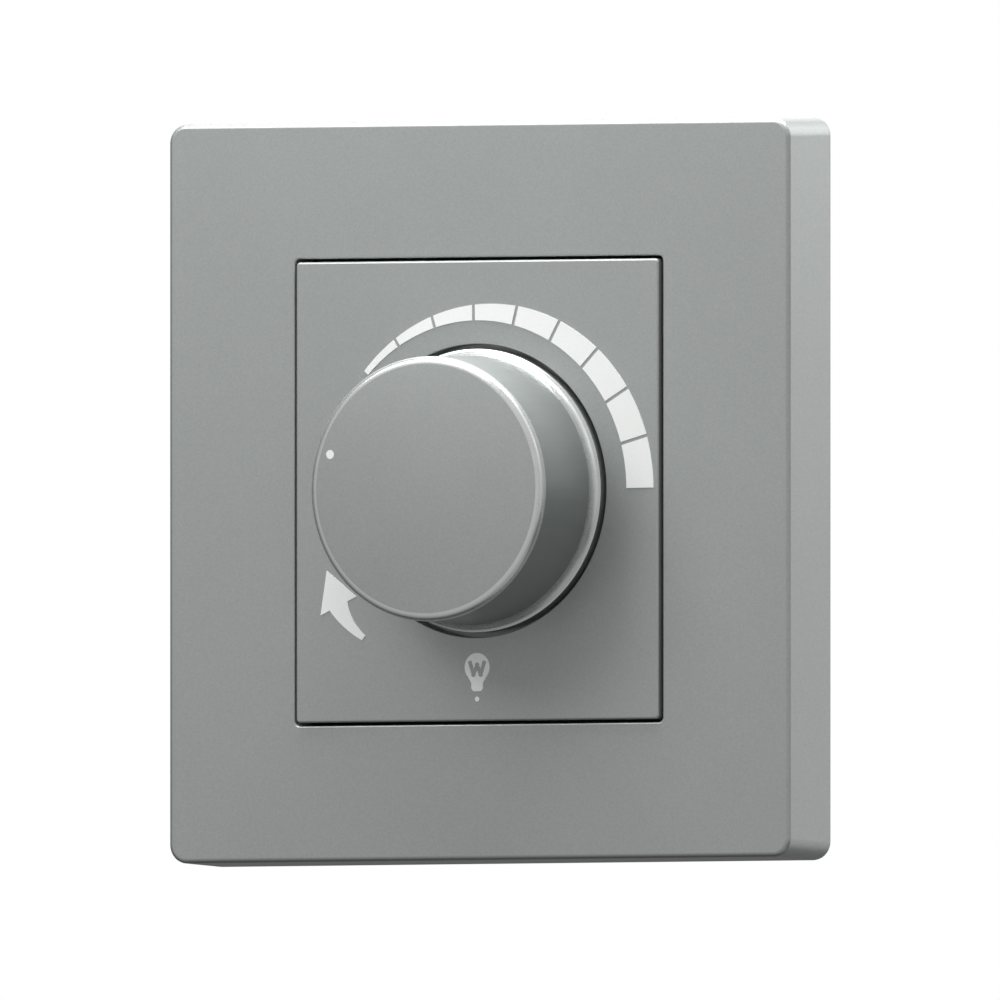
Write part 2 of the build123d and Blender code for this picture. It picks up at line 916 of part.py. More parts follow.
def along_fuse(radius, length, shift=0):
    x, y = fuse_place()
    return Pos(x + shift, y, fuse_level()) * Rot(0, 90, 0) * Cylinder(radius, length)


def fuse_tube():
    length = fuse_length - 2 * fuse_cap_wall - 2 * fit
    return along_fuse(fuse_radius - fit, length) - along_fuse(fuse_radius - fuse_wall, length)


def cap_shift():
    return (fuse_length - fuse_cap_length) / 2


def fuse_caps():
    caps = []
    for side in (-1, 1):
        shift = side * cap_shift()
        cap = along_fuse(fuse_radius + fuse_cap_wall, fuse_cap_length, shift)
        cap -= along_fuse(fuse_radius, fuse_cap_length, shift - side * fuse_cap_wall)
        caps.append(cap)
    return Part() + caps


def fuse_clips():
    inner = fuse_clip_reach - clip_sheet
    level = fuse_level()
    x, y = fuse_place()
    left, right = -clip_grip / 2, clip_grip / 2
    clip = span(left, right, -fuse_clip_reach, fuse_clip_reach, level, board_back)
    clip += Pos(0, 0, level) * Rot(0, 90, 0) * Cylinder(fuse_clip_reach, clip_grip)
    clip -= Pos(0, 0, level) * Rot(0, 90, 0) * Cylinder(inner, clip_grip)
    clip -= block(clip_grip, fuse_radius, level - fuse_clip_reach, level)
    clip -= span(left, right, -inner, inner, level, board_back - clip_sheet)
    return Part() + [Pos(x + side * cap_shift(), y, 0) * clip for side in (-1, 1)]


# Terminals


def pole_x(side):
    return side * pole_pitch / 2


def terminal_block():
    low = from_board(block_height)
    half = block_width / 2
    body = span(-half, half, block_back, block_front, low, board_back)
    body = chamfer(body.edges().filter_by(Axis.Z), block_edge)
    for side in (-1, 1):
        x = pole_x(side)
        room = cage_width / 2 + clamp_gap
        chamber_low = from_board(chamber_high)
        body -= span(x - room, x + room, chamber_back, chamber_front, chamber_low, from_board(block_floor))
        pin_room = bar_thick / 2 + clamp_gap
        at = (x, bar_pin_y)
        body -= block(2 * pin_room, 2 * pin_room, from_board(block_floor), board_back, at)
        body -= rod(clamp_screw_radius + fit, from_board(head_low), chamber_low, (x, clamp_y))
        body -= rod(clamp_head_radius + head_clear, low, from_board(head_low), (x, clamp_y))
        level = from_board((room_low + bar_low) / 2)
        entry = Pos(x, (chamber_front + block_front) / 2, level) * Rot(90, 0, 0)
        body -= entry * Cylinder(wire_hole, entry_wall)
    return body


def bar_pin_places():
    return [(pole_x(side), bar_pin_y) for side in (-1, 1)]


def terminal_bars():
    bars = []
    half = cage_width / 2 - cage_side - clamp_gap
    back = bar_pin_y - bar_thick / 2
    for x, y in bar_pin_places():
        front = chamber_front - clamp_gap
        bar = span(x - half, x + half, back, front, from_board(bar_high), from_board(bar_low))
        pin = block(bar_thick, bar_thick, from_board(bar_low), board_front + pin_tail, (x, y))
        bars.append(bar + pin)
    return Part() + bars


def terminal_screw(side):
    at = (pole_x(side), clamp_y)
    low = from_board(head_high)
    shank = rod(clamp_screw_radius, from_board(head_low), from_board(bar_high + fit), at)
    head = rod(clamp_head_radius, low, from_board(head_low), at)
    groove = block(2 * clamp_head_radius, clamp_slot, low, low + clamp_slot_depth, at)
    return shank + head - groove


def clamp_cage(side):
    x = pole_x(side)
    half = cage_width / 2
    back = clamp_y - cage_length / 2
    front = clamp_y + cage_length / 2
    cage = span(x - half, x + half, back, front, from_board(roof_high), from_board(cage_low))
    inner = half - cage_side
    cage -= span(x - inner, x + inner, back, front, from_board(roof_low), from_board(room_low))
    return cage - rod(clamp_screw_radius + fit, from_board(roof_high), from_board(roof_low), (x, clamp_y))


# Rear housing


def rear_housing():
    outline = RectangleRounded(housing_width, housing_height, housing_corner)
    body = slab(outline, housing_back, housing_front)
    body = fillet(body.faces().sort_by(Axis.Z)[0].edges(), housing_edge)
    body -= block(inside_width, inside_height, housing_floor, housing_front)
    tube = rod(tube_radius, housing_floor, seat_front, (tube_x, tube_y))
    body += four_ways(tube)
    seat_back = seat_front - seat_thick
    bore = rod(tube_bore, housing_back, seat_back, (tube_x, tube_y))
    bore += rod(case_screw_radius + screw_hole_clear, seat_back, seat_front, (tube_x, tube_y))
    body -= four_ways(bore)
    for at in board_posts:
        body += rod(post_radius, housing_floor, board_back, at)
        body -= rod(board_screw_radius, board_back - board_screw_length - fit, board_back, at)
    body += niche_walls()
    body -= niche_room()
    body += latches()
    body -= latch_slits()
    body -= side_vents()
    return body - back_vents()


def niche_walls():
    half = niche_width / 2 + niche_wall
    top = inside_height / 2 + housing_wall / 2
    return span(-half, half, niche_back - niche_wall, top, housing_floor, board_back - board_clear)


def niche_room():
    half = niche_width / 2
    return span(-half, half, niche_back, housing_height, housing_back, board_back + board_clear)


def latches():
    foot = housing_height / 2
    top = -latch_play
    profile = Polyline(
        (foot - housing_wall / 2, top),
        (foot + latch_bite, top),
        (foot, top - latch_height),
        (foot - housing_wall / 2, top - latch_height),
        close=True,
    )
    wedge = extrude(make_face(Plane.YZ * profile), latch_width / 2, both=True)
    return four_ways(Pos(latch_x, 0, 0) * wedge)


def latch_slits():
    side = latch_width / 2 + latch_slit / 2
    outer = housing_height / 2
    slits = []
    for shift in (-side, side):
        x = latch_x + shift
        slits.append(
            span(
                x - latch_slit / 2,
                x + latch_slit / 2,
                outer - housing_wall,
                outer,
                -latch_slit_reach,
                carrier_thick,
            )
        )
    return four_ways(slits[0] + slits[1])


def vent_steps():
    return [(step - (vent_count - 1) / 2) * vent_pitch for step in range(vent_count)]


def side_vents():
    middle = (housing_floor + board_back) / 2
    slot = Rot(0, 0, 90) * SlotOverall(vent_length, vent_width)
    vents = []
    for step in vent_steps():
        tool = extrude(Plane.YZ * Pos(step, middle) * slot, housing_width / 2)
        vents.append(tool - block(inside_width, housing_height, housing_back, 0))
    return both_sides(Part() + vents)


def back_vents():
    slot = Rot(0, 0, 90) * SlotOverall(vent_length, vent_width)
    vents = [slab(Pos(step, -vent_pitch) * slot, housing_back, housing_floor) for step in vent_steps()]
    return Part() + vents


def housing_screws():
    at = (tube_x, tube_y)
    seat_back = seat_front - seat_thick
    shank = rod(case_screw_radius, seat_back, seat_back + case_screw_length, at)
    head = rod(tube_bore - case_head_clear, seat_back - case_head_height, seat_back, at)
    return four_ways(shank + head)


def place(piece):
    return Rot(90, 0, 0) * piece


pieces = {
    "cover_frame": cover_frame(),
    "carrier": carrier(),
    "face_panel": face_panel(),
    "scale_marks": scale_marks(),
    "arrow_mark": arrow_mark(),
    "knob": knob(),
    "pointer_dot": pointer_dot(),
    "knob_clip": knob_clip(),
    "pot_bush": pot_bush(),
    "pot_washer": pot_washer(),
    "pot_nut": pot_nut(),
    "pot_shaft": pot_shaft(),
    "pot_rotor": pot_rotor(),
    "pot_wiper": pot_wiper(),
    "pot_wafer": pot_wafer(),
    "pot_can": pot_can(),
    "pot_switch": pot_switch(),
    "pot_lugs": pot_lugs(),
    "switch_pins": switch_pins(),
    "heat_sink": heat_sink(),
    "triac": triac(),
    "triac_screw": triac_screw(),
    "circuit_board": circuit_board(),
    "board_screws": board_screws(),
    "choke_core": choke_core(),
    "choke_winding": choke_winding(),
    "film_capacitors": film_capacitors(),
    "resistors": resistors(),
    "diac": diac(),
    "fuse_tube": fuse_tube(),
    "fuse_caps": fuse_caps(),
    "fuse_clips": fuse_clips(),
    "terminal_block": terminal_block(),
    "terminal_bars": terminal_bars(),
    "terminal_screw_left": terminal_screw(-1),
    "terminal_screw_right": terminal_screw(1),
    "clamp_cage_left": clamp_cage(-1),
    "clamp_cage_right": clamp_cage(1),
    "rear_housing": rear_housing(),
    "housing_screws": housing_screws(),
}

os.makedirs("parts", exist_ok=True)
for name, piece in pieces.items():
    export_step(place(piece), f"parts/{name}.step")
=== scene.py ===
import math

import bmesh
import bpy
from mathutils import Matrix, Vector


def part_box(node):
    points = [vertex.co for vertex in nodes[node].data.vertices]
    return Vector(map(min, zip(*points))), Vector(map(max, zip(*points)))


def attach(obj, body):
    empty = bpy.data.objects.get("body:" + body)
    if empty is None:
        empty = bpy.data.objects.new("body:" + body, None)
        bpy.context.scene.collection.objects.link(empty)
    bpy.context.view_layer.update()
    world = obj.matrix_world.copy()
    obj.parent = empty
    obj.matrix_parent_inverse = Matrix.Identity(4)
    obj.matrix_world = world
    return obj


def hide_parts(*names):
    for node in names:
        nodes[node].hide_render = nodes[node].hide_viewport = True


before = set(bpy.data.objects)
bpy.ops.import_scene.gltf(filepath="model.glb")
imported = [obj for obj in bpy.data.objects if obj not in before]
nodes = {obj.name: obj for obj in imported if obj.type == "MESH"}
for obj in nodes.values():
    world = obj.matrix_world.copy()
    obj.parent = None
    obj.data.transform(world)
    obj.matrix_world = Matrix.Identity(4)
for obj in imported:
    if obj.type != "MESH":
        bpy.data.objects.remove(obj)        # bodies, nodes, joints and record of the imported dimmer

mm = 0.001
for spare in ("Cube", "Camera", "Light"):      # what a new Blender file holds
    if spare in bpy.data.objects:
        bpy.data.objects.remove(bpy.data.objects[spare], do_unlink=True)
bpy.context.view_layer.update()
print("frame loaded,", len(nodes), "nodes")


# Camera

photoView = {
    "azimuth": 28.5,          # degrees, the camera stands to the right of the face
    "elevation": -1.2,        # and a little below it
    "scale": 8.21 / mm,       # picture points to the metre
    "picture": 1000,
    "right": -2.52 * mm,      # middle of the picture, from the origin
    "up": -0.94 * mm,
    "distance": 0.5,
    "clip": (0.01, 20),
}


def setCamera():
    turn = math.radians(photoView["azimuth"])
    rise = math.radians(photoView["elevation"])
    back = Vector((math.sin(turn) * math.cos(rise), -math.cos(turn) * math.cos(rise), math.sin(rise)))
    right = Vector((math.cos(turn), math.sin(turn), 0))
    up = back.cross(right)
    spot = right * photoView["right"] + up * photoView["up"] + back * photoView["distance"]
    bpy.ops.object.camera_add(location=spot)
    camera = bpy.context.object
    camera.name = "photoCamera"
    camera.rotation_euler = (-back).to_track_quat("-Z", "Y").to_euler()
    camera.data.type = "ORTHO"
    camera.data.ortho_scale = photoView["picture"] / photoView["scale"]
    camera.data.clip_start, camera.data.clip_end = photoView["clip"]
    bpy.context.scene.camera = camera


setCamera()
print("camera set")


# Modelling helpers

same = 0.02 * mm          # places closer than this count as one
merge = 0.001 * mm
lean = 0.5 * mm           # more than a mould's draft moves an edge sideways
past = 1.0 * mm           # how far a cutter stands out of the piece
weld = 0.2 * mm           # how far joined shapes reach into each other
facing = 0.9              # part of a normal along an axis, for a face that looks that way
roundUpTo = 32            # degrees, sharper edges stay sharp
flatWeight = 100


def dropPick():
    if bpy.context.mode != "OBJECT":
        bpy.ops.object.mode_set(mode="OBJECT")
    bpy.ops.object.select_all(action="DESELECT")


def pickOnly(piece):
    dropPick()
    piece.select_set(True)
    bpy.context.view_layer.objects.active = piece


def openEdit(piece, mode="FACE"):
    pickOnly(piece)
    bpy.ops.object.mode_set(mode="EDIT")
    bpy.ops.mesh.select_mode(type=mode)
    bpy.ops.mesh.select_all(action="DESELECT")


def closeEdit():
    bpy.ops.object.mode_set(mode="OBJECT")


def pickFaces(piece, test):
    mesh = bmesh.from_edit_mesh(piece.data)
    for face in mesh.faces:
        face.select_set(test(face.calc_center_median(), face.normal))
    bmesh.update_edit_mesh(piece.data)


def pickEdges(piece, test):
    mesh = bmesh.from_edit_mesh(piece.data)
    for edge in mesh.edges:
        edge.select_set(test(edge.verts[0].co, edge.verts[1].co))
    bmesh.update_edit_mesh(piece.data)


def pickPoints(piece, test):
    mesh = bmesh.from_edit_mesh(piece.data)
    for vert in mesh.verts:
        vert.select_set(test(vert.co))
    mesh.select_flush(True)
    bmesh.update_edit_mesh(piece.data)


def near(a, b, room=same):
    return abs(a - b) < room


def extrude(step):
    bpy.ops.mesh.extrude_region_move(TRANSFORM_OT_translate={"value": step})


def fixPlace():
    bpy.ops.object.transform_apply(location=True, rotation=True, scale=True)


def addBox(name, low, high):
    dropPick()
    bpy.ops.mesh.primitive_cube_add(size=1)
    piece = bpy.context.object
    piece.name = name
    piece.scale = [high[i] - low[i] for i in range(3)]
    piece.location = [(high[i] + low[i]) / 2 for i in range(3)]
    fixPlace()
    return piece


def addRod(name, radius, low, high, at=(0, 0), steps=64):
    # lies along Y, from low to high
    dropPick()
    bpy.ops.mesh.primitive_cylinder_add(
        vertices=steps,
        radius=radius,
        depth=high - low,
        location=(at[0], (low + high) / 2, at[1]),
        rotation=(math.pi / 2, 0, 0),
    )
    piece = bpy.context.object
    piece.name = name
    fixPlace()
    return piece


def spinProfile(name, points, steps):
    # points are (radius, y) and turn about the Y axis
    dropPick()
    bpy.ops.mesh.primitive_plane_add(size=mm)
    piece = bpy.context.object
    piece.name = name
    openEdit(piece, "VERT")
    pickPoints(piece, lambda co: co.x < 0 or co.y < 0)
    bpy.ops.mesh.delete(type="VERT")
    bpy.ops.mesh.select_all(action="SELECT")
    here = bmesh.from_edit_mesh(piece.data).verts
    here.ensure_lookup_table()
    start = Vector((points[0][0], points[0][1], 0))
    bpy.ops.transform.translate(value=start - here[0].co)
    for before, after in zip(points, points[1:]):
        extrude((after[0] - before[0], after[1] - before[1], 0))
    bpy.ops.mesh.select_all(action="SELECT")
    bpy.ops.mesh.spin(steps=steps, angle=2 * math.pi, center=(0, 0, 0), axis=(0, 1, 0))
    bpy.ops.mesh.select_all(action="SELECT")
    bpy.ops.mesh.remove_doubles(threshold=merge)
    bpy.ops.mesh.normals_make_consistent(inside=False)
    closeEdit()
    return piece


def turnAboutY(piece, angle):
    # angle counts from +X towards +Z, as seen from the front
    pickOnly(piece)
    piece.rotation_euler = (0, -math.radians(angle), 0)
    fixPlace()


def applyAll(piece):
    pickOnly(piece)
    for modifier in list(piece.modifiers):
        bpy.ops.object.modifier_apply(modifier=modifier.name)


def cut(piece, tool, operation="DIFFERENCE"):
    step = piece.modifiers.new("cut", "BOOLEAN")
    step.object = tool
    step.operation = operation
    step.solver = "EXACT"
    applyAll(piece)
    bpy.data.objects.remove(tool, do_unlink=True)


def bevelEdges(piece, test, radius, segments):
    openEdit(piece, "EDGE")
    pickEdges(piece, test)
    bpy.ops.mesh.bevel(offset=radius, segments=segments, affect="EDGES")
    closeEdit()


def firmShade(piece):
    # flats stay flat and only the rounded edges shade round
    pickOnly(piece)
    bpy.ops.object.shade_smooth_by_angle(angle=math.radians(roundUpTo))
    weigh = piece.modifiers.new("weigh", "WEIGHTED_NORMAL")
    weigh.keep_sharp = True
    weigh.weight = flatWeight
    applyAll(piece)


# Shader helpers

def newFinish(name, **values):
    finish = bpy.data.materials.new(name)
    finish.use_nodes = True
    shader = finish.node_tree.nodes["Principled BSDF"]
    for socket, value in values.items():
        shader.inputs[socket.replace("_", " ")].default_value = value
    return finish, shader


def addNode(finish, kind, **sockets):
    node = finish.node_tree.nodes.new("ShaderNode" + kind)
    for socket, value in sockets.items():
        node.inputs[socket.replace("_", " ")].default_value = value
    return node


def link(finish, source, target):
    finish.node_tree.links.new(source, target)


def objectPlace(finish):
    return addNode(finish, "TexCoord").outputs["Object"]


def noiseOf(finish, size, detail=2.0, rough=0.5, stretch=None):
    # stretch draws the grain out along the axes that have small numbers
    noise = addNode(finish, "TexNoise", Scale=1 / size, Detail=detail, Roughness=rough)
    place = objectPlace(finish)
    if stretch:
        draw = addNode(finish, "Mapping", Scale=stretch)
        link(finish, place, draw.inputs["Vector"])
        place = draw.outputs["Vector"]
    link(finish, place, noise.inputs["Vector"])
    return noise.outputs["Fac"]


def spread(finish, source, low, high):
    span = addNode(finish, "MapRange", To_Min=low, To_Max=high)
    link(finish, source, span.inputs["Value"])
    return span.outputs["Result"]


def times(finish, first, second):
    both = addNode(finish, "Math")
    both.operation = "MULTIPLY"
    link(finish, first, both.inputs[0])
    link(finish, second, both.inputs[1])
    return both.outputs["Value"]


def tint(finish, shader, colour, factor):
    shade = addNode(finish, "Mix")
    shade.data_type = "RGBA"
    shade.blend_type = "MULTIPLY"
    shade.inputs["Factor"].default_value = 1
    colours = [socket for socket in shade.inputs if socket.type == "RGBA"]
    colours[0].default_value = (*colour, 1)
    link(finish, factor, colours[1])
    result = [socket for socket in shade.outputs if socket.type == "RGBA"][0]
    link(finish, result, shader.inputs["Base Color"])


def gloss(finish, shader, source, smooth, dull):
    link(finish, spread(finish, source, smooth, dull), shader.inputs["Roughness"])


def bump(finish, shader, height, depth):
    relief = addNode(finish, "Bump", Strength=1.0, Distance=depth)
    link(finish, height, relief.inputs["Height"])
    link(finish, relief.outputs["Normal"], shader.inputs["Normal"])


# Finishes, each pair of numbers being the darkest and lightest, or the smoothest and dullest

paint = {
    "colour": (0.405, 0.425, 0.418),
    "metallic": 0.6,
    "roughness": (0.37, 0.43),
    "satin": 0.34 * mm,
    "flake": 0.17 * mm,
    "flakes": (0.93, 1.07),
    "cloud": 14 * mm,
    "clouds": (0.97, 1.03),
    "peel": 0.9 * mm,         # orange peel of the lacquer
    "peelDepth": 0.002 * mm,
}


def greyPaint():
    finish, shader = newFinish("greyPaint", Metallic=paint["metallic"])
    flakes = addNode(finish, "TexVoronoi", Scale=1 / paint["flake"])
    link(finish, objectPlace(finish), flakes.inputs["Vector"])
    sparkle = spread(finish, flakes.outputs["Color"], *paint["flakes"])
    cloud = spread(finish, noiseOf(finish, paint["cloud"]), *paint["clouds"])
    tint(finish, shader, paint["colour"], times(finish, sparkle, cloud))
    gloss(finish, shader, noiseOf(finish, paint["satin"]), *paint["roughness"])
    bump(finish, shader, noiseOf(finish, paint["peel"]), paint["peelDepth"])
    return finish


mouldSkin = {
    "drift": 9 * mm,          # patches of a slightly other colour
    "drifts": (0.9, 1.1),
    "grain": 0.16 * mm,       # left by the spark-eroded mould
    "grainDepth": 0.006 * mm,
    "detail": 3.0,
    "fineness": 0.6,
    "glossRoom": 0.06,        # either way
}


def moulded(name, colour, roughness, grain=mouldSkin["grain"], depth=mouldSkin["grainDepth"]):
    finish, shader = newFinish(name)
    drift = noiseOf(finish, mouldSkin["drift"], mouldSkin["detail"])
    tint(finish, shader, colour, spread(finish, drift, *mouldSkin["drifts"]))
    room = mouldSkin["glossRoom"]
    gloss(finish, shader, noiseOf(finish, grain), roughness - room, roughness + room)
    bump(finish, shader, noiseOf(finish, grain, mouldSkin["detail"], mouldSkin["fineness"]), depth)
    return finish


metalSkin = {
    "mark": 0.25 * mm,        # of rolling, turning or plating
    "marks": (0.86, 1.12),
    "markDepth": 0.0015 * mm,
    "detail": 3.0,
    "smoother": 0.08,
    "duller": 0.1,
}


def metal(name, colour, roughness, stretch=None):
    finish, shader = newFinish(name, Metallic=1.0)
    marks = noiseOf(finish, metalSkin["mark"], metalSkin["detail"], stretch=stretch)
    tint(finish, shader, colour, spread(finish, marks, *metalSkin["marks"]))
    gloss(finish, shader, marks, roughness - metalSkin["smoother"], roughness + metalSkin["duller"])
    bump(finish, shader, marks, metalSkin["markDepth"])
    return finish


ink = {
    "pore": 0.12 * mm,
    "pores": (0.9, 1.08),
    "poreDepth": 0.004 * mm,
    "detail": 3.0,
    "fineness": 0.7,
    "patch": 0.3 * mm,
    "roughness": (0.45, 0.6),
}


def whiteInk(name, colour):
    finish, shader = newFinish(name)
    pores = noiseOf(finish, ink["pore"], ink["detail"], ink["fineness"])
    tint(finish, shader, colour, spread(finish, pores, *ink["pores"]))
    gloss(finish, shader, noiseOf(finish, ink["patch"]), *ink["roughness"])
    bump(finish, shader, pores, ink["poreDepth"])
    return finish


glass = {
    "colour": (0.9, 0.95, 0.95),
    "index": 1.5,
    "streak": 2 * mm,
    "streaks": (0.96, 1.0),
    "smear": 0.8 * mm,
    "roughness": (0.02, 0.07),
}


def clearGlass():
    finish, shader = newFinish("fuseGlass", Transmission_Weight=1.0, IOR=glass["index"])
    streaks = noiseOf(finish, glass["streak"])
    tint(finish, shader, glass["colour"], spread(finish, streaks, *glass["streaks"]))
    gloss(finish, shader, noiseOf(finish, glass["smear"]), *glass["roughness"])
    return finish


laminate = {
    "colour": (0.4, 0.24, 0.09),
    "fibre": 0.35 * mm,       # of the phenolic paper
    "fibreDraw": (1, 1, 0.15),
    "fibres": (0.75, 1.25),
    "fibreDepth": 0.005 * mm,
    "detail": 4.0,
    "roughness": (0.4, 0.6),
}


def boardLaminate():
    finish, shader = newFinish("boardLaminate")
    fibres = noiseOf(finish, laminate["fibre"], laminate["detail"], stretch=laminate["fibreDraw"])
    tint(finish, shader, laminate["colour"], spread(finish, fibres, *laminate["fibres"]))
    gloss(finish, shader, fibres, *laminate["roughness"])
    bump(finish, shader, fibres, laminate["fibreDepth"])
    return finish


finishes = {
    "grey_paint": greyPaint(),
    "white_ink": whiteInk("whiteInk", (0.87, 0.88, 0.87)),
    "carrier_plastic": moulded("carrierPlastic", (0.09, 0.095, 0.1), 0.5),
    "housing_plastic": moulded("housingPlastic", (0.035, 0.036, 0.038), 0.48),
    "terminal_plastic": moulded("terminalPlastic", (0.5, 0.5, 0.48), 0.42),
    "zinc_steel": metal("zincSteel", (0.62, 0.63, 0.64), 0.3),
    "nickel_brass": metal("nickelBrass", (0.72, 0.62, 0.4), 0.26),
    "copper_wire": metal("copperWire", (0.62, 0.27, 0.13), 0.25),
    "ferrite": moulded("ferrite", (0.08, 0.08, 0.085), 0.7, 0.25 * mm, 0.02 * mm),
    "sheet_aluminium": metal("sheetAluminium", (0.7, 0.71, 0.72), 0.34, (1, 0.05, 1)),
    "board_laminate": boardLaminate(),
    "component_resin": moulded("componentResin", (0.03, 0.03, 0.032), 0.35),
    "capacitor_case": moulded("capacitorCase", (0.45, 0.3, 0.05), 0.3),
    "resistor_coat": moulded("resistorCoat", (0.55, 0.42, 0.28), 0.3),
    "fuse_glass": clearGlass(),
}


def coat(piece, finish):
    piece.data.materials.clear()
    piece.data.materials.append(finish)


def dressNodes():
    for node in nodes.values():
        coat(node, finishes[node.material_slots[0].material.name])


dressNodes()
print("finishes made,", len(finishes), "and put on", len(nodes), "nodes")


# Shared steps of the moulded pieces

def alongY(first, second):
    return near(first.x, second.x, lean) and near(first.z, second.z, lean)


def roundCorners(piece, radius, segments):
    # the four edges that run from back to front
    bevelEdges(
        piece,
        lambda first, second: alongY(first, second) and not near(first.y, second.y),
        radius,
        segments,
    )


def roundRim(piece, level, radius, segments):
    # every edge that lies at that depth
    bevelEdges(
        piece,
        lambda first, second: near(first.y, level) and near(second.y, level),
        radius,
        segments,
    )


def flareFront(piece, level, radius, segments):
    # a cutter widens in a quarter round, so that the edge it leaves is rounded
    openEdit(piece)
    pickFaces(piece, lambda spot, normal: normal.y < -facing)
    half = (piece.dimensions.x / 2, piece.dimensions.z / 2)
    bpy.ops.transform.translate(value=(0, level + radius - piece.bound_box[0][1], 0))
    before = 0
    for step in range(1, segments + 1):
        angle = step * math.pi / 2 / segments
        wide = radius * (1 - math.cos(angle))
        last = radius * (1 - math.cos(before))
        extrude((0, radius * (math.sin(before) - math.sin(angle)), 0))
        grow = [(side + wide) / (side + last) for side in half]
        bpy.ops.transform.resize(value=(grow[0], 1, grow[1]))
        before = angle
    extrude((0, -radius, 0))
    closeEdit()


def dressFaces(piece, finish, test):
    # one more finish on the faces that the test picks
    piece.data.materials.append(finish)
    openEdit(piece)
    pickFaces(piece, test)
    piece.active_material_index = len(piece.data.materials) - 1
    bpy.ops.object.material_slot_assign()
    closeEdit()


def settle(piece, body, slotName, *replaced):
    if not piece.data.materials:
        coat(piece, finishes[slotName])
    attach(piece, body)
    if replaced:
        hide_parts(*replaced)
    print(piece.name, "made,", len(piece.data.polygons), "faces")


# Cover frame

coverFrame = {
    "front": (86.0 * mm, 90.0 * mm),      # face, smaller than the foot by the draft of the mould
    "corner": 2.3 * mm,
    "cornerSteps": 12,
    "insideSteps": 8,
    "wall": 2.0 * mm,
    "face": 2.2 * mm,
    "lip": 1.4 * mm,                      # rib behind the window
    "lipDepth": 2.0 * mm,
    "windowGap": 0.4 * mm,                # round the panel
    "windowCorner": 0.7 * mm,
    "windowEdge": 0.18 * mm,
    "windowEdgeSteps": 5,
    "frontEdge": 0.6 * mm,
    "frontEdgeSteps": 6,
    "footEdge": 0.8 * mm,
    "footEdgeSteps": 4,
    "hookSide": 20.0 * mm,
    "hookInset": 4.85 * mm,               # hook's back from the inside of the wall
    "hook": (6.4 * mm, 1.4 * mm),
    "hookBite": 0.65 * mm,
    "hookHeight": 0.8 * mm,
    "hookNose": 0.1 * mm,                 # blunt end of the barb
    "hookTip": -0.25 * mm,
}


def makeCoverFrame():
    low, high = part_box("cover_frame")
    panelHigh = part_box("face_panel")[1]
    window = (panelHigh.x + coverFrame["windowGap"], panelHigh.z + coverFrame["windowGap"])
    inside = low.y + coverFrame["face"]
    piece = addBox("coverFrame", low, high)
    openEdit(piece)
    pickFaces(piece, lambda spot, normal: normal.y < -facing)
    draft = (coverFrame["front"][0] / 2 / high.x, 1, coverFrame["front"][1] / 2 / high.z)
    bpy.ops.transform.resize(value=draft)
    closeEdit()
    roundCorners(piece, coverFrame["corner"], coverFrame["cornerSteps"])
    roundRim(piece, low.y, coverFrame["frontEdge"], coverFrame["frontEdgeSteps"])
    roundRim(piece, high.y, coverFrame["footEdge"], coverFrame["footEdgeSteps"])
    reach = (high.x - coverFrame["wall"], high.z - coverFrame["wall"])
    cavity = addBox("cavity", (-reach[0], inside, -reach[1]), (reach[0], high.y + past, reach[1]))
    roundCorners(cavity, coverFrame["corner"], coverFrame["insideSteps"])
    lip = (window[0] + coverFrame["lip"], window[1] + coverFrame["lip"])
    lipBack = inside + coverFrame["lipDepth"]
    cut(cavity, addBox("ring", (-lip[0], inside - past, -lip[1]), (lip[0], lipBack, lip[1])))
    cut(piece, cavity)
    opening = addBox("opening", (-window[0], low.y, -window[1]), (window[0], high.y + past, window[1]))
    roundCorners(opening, coverFrame["windowCorner"], coverFrame["insideSteps"])
    flareFront(opening, low.y, coverFrame["windowEdge"], coverFrame["windowEdgeSteps"])
    cut(piece, opening)
    for side in (-1, 1):
        for end in (-1, 1):
            cut(piece, makeHook(side * coverFrame["hookSide"], end, reach[1], inside), "UNION")
    firmShade(piece)
    settle(piece, "case", "grey_paint", "cover_frame")


def makeHook(x, end, reach, root):
    # a tongue with a barb that clips into the carrier
    wide, thick = coverFrame["hook"]
    nose = coverFrame["hookNose"]
    back = reach - coverFrame["hookInset"] - thick
    tip = coverFrame["hookTip"]
    barb = tip - coverFrame["hookHeight"]
    hook = addBox("hook", (x - wide / 2, root - weld, back), (x + wide / 2, barb, back + thick))
    openEdit(hook)
    pickFaces(hook, lambda spot, normal: normal.y > facing)
    extrude((0, tip - barb, 0))
    pickFaces(hook, lambda spot, normal: normal.z > facing and spot.y > barb)
    extrude((0, 0, coverFrame["hookBite"]))
    pickEdges(
        hook,
        lambda first, second: min(first.y, second.y) > tip - nose
        and min(first.z, second.z) > back + thick + nose,
    )
    bpy.ops.transform.translate(value=(0, barb - tip + nose, 0))
    closeEdit()
    if end < 0:
        turnAboutY(hook, 180)
    return hook


makeCoverFrame()


# Face panel

facePanel = {
    "corner": 0.5 * mm,
    "cornerSteps": 8,
    "edge": 0.27 * mm,
    "edgeSteps": 5,
    "wall": 1.8 * mm,
    "thick": 2.2 * mm,
    "skirtBack": -2.4 * mm,
    "well": 17.9 * mm,
    "wellSteps": 180,
    "wellDepth": 2.55 * mm,
    "wellFloor": 2.0 * mm,
    "wellWall": 1.8 * mm,
    "wellEdge": 0.12 * mm,
    "wellEdgeSteps": 4,
    "cupSteps": 160,                      # back of the well
    "bushHole": 3.76 * mm,
    "tab": (2.8 * mm, 1.6 * mm),
    "tabOrbit": 7.0 * mm,
    "boss": 2.6 * mm,
    "bossSteps": 40,
    "bossSpot": (18.3 * mm, 21.25 * mm),
    "pilot": 1.36 * mm,
    "pilotSteps": 32,
    "pilotEnd": -6.66 * mm,
}


